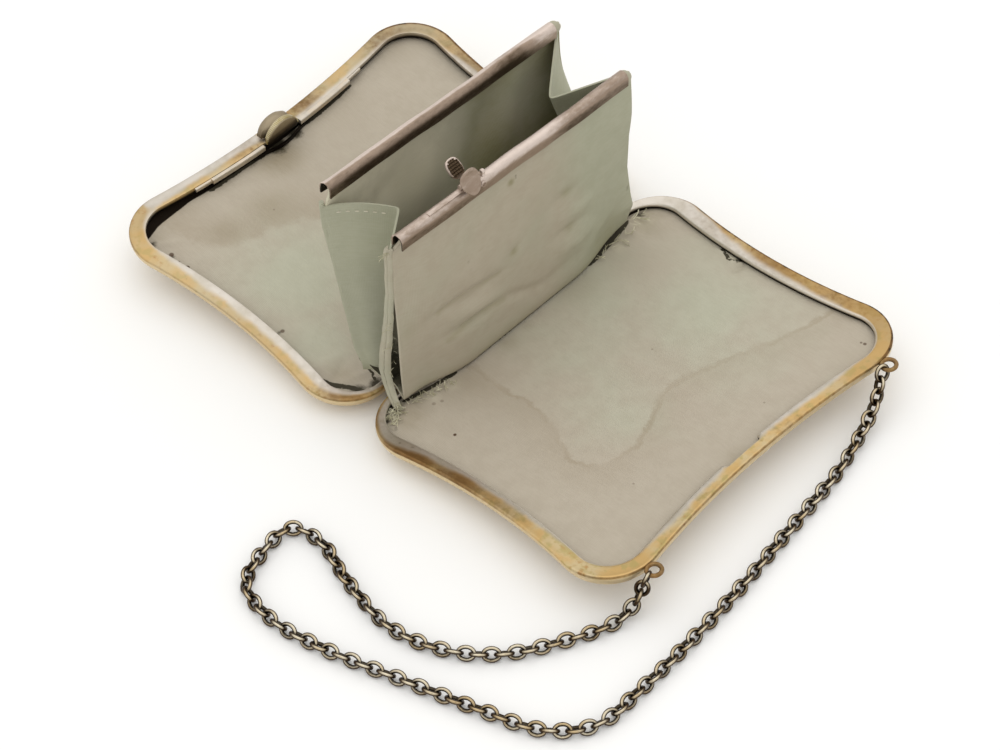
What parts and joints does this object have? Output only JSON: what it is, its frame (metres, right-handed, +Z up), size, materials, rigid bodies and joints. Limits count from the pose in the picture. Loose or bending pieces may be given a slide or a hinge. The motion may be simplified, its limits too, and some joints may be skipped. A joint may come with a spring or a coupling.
{
  "type": "coin purse",
  "caption": "Small gilt-silver coin purse lying open like a book, with silk-lined covers, a standing silk pocket, a push clasp and a carrying chain.",
  "frame": {"origin": "middle of the purse's box, on the floor that it lies on", "axes": "+Z up, +X across the hinge towards the front cover, +Y along the hinge towards the end away from the chain's bight"},
  "size_m": [0.1592, 0.1342, 0.0571],
  "materials": {
    "gilt_silver": "worn gilding over silver",
    "silver": "tarnished silver",
    "spring_steel": "dark oxidised steel",
    "lining_silk": "faded silk over board",
    "pocket_silk": "faded silk",
    "chain_metal": "oxidised gilt silver"
  },
  "bodies": {
    "front": {"front_cover": "gilt_silver", "front_lining": "lining_silk", "hinge_pin": "silver", "pocket_body": "pocket_silk", "gusset_near": "pocket_silk", "gusset_far": "pocket_silk", "rim_front": "silver", "rim_back": "silver", "chain": "chain_metal"},
    "back": {"back_cover": "gilt_silver", "back_lining": "lining_silk", "clasp_spring": "spring_steel"},
    "clasp": {"clasp_button": "gilt_silver"},
    "catch": {"pocket_catch": "silver"}
  },
  "joints": [
    {"name": "cover_hinge", "type": "hinge", "parent": "front", "child": "back", "pos_m": [-0.00783, 0.02215, 0.00541], "axis": [0, 1, 0], "range_deg": [0, 36]},
    {"name": "clasp_press", "type": "slide", "parent": "back", "child": "clasp", "axis": [0.9972, 0, -0.075], "range_m": [0, 0.0012], "stiffness_N_per_m": 600},
    {"name": "catch_press", "type": "hinge", "parent": "front", "child": "catch", "pos_m": [-0.00113, 0.00906, 0.05489], "axis": [0, 0.999, -0.0437], "range_deg": [0, 20], "stiffness_Nm_per_rad": 0.01}
  ]
}
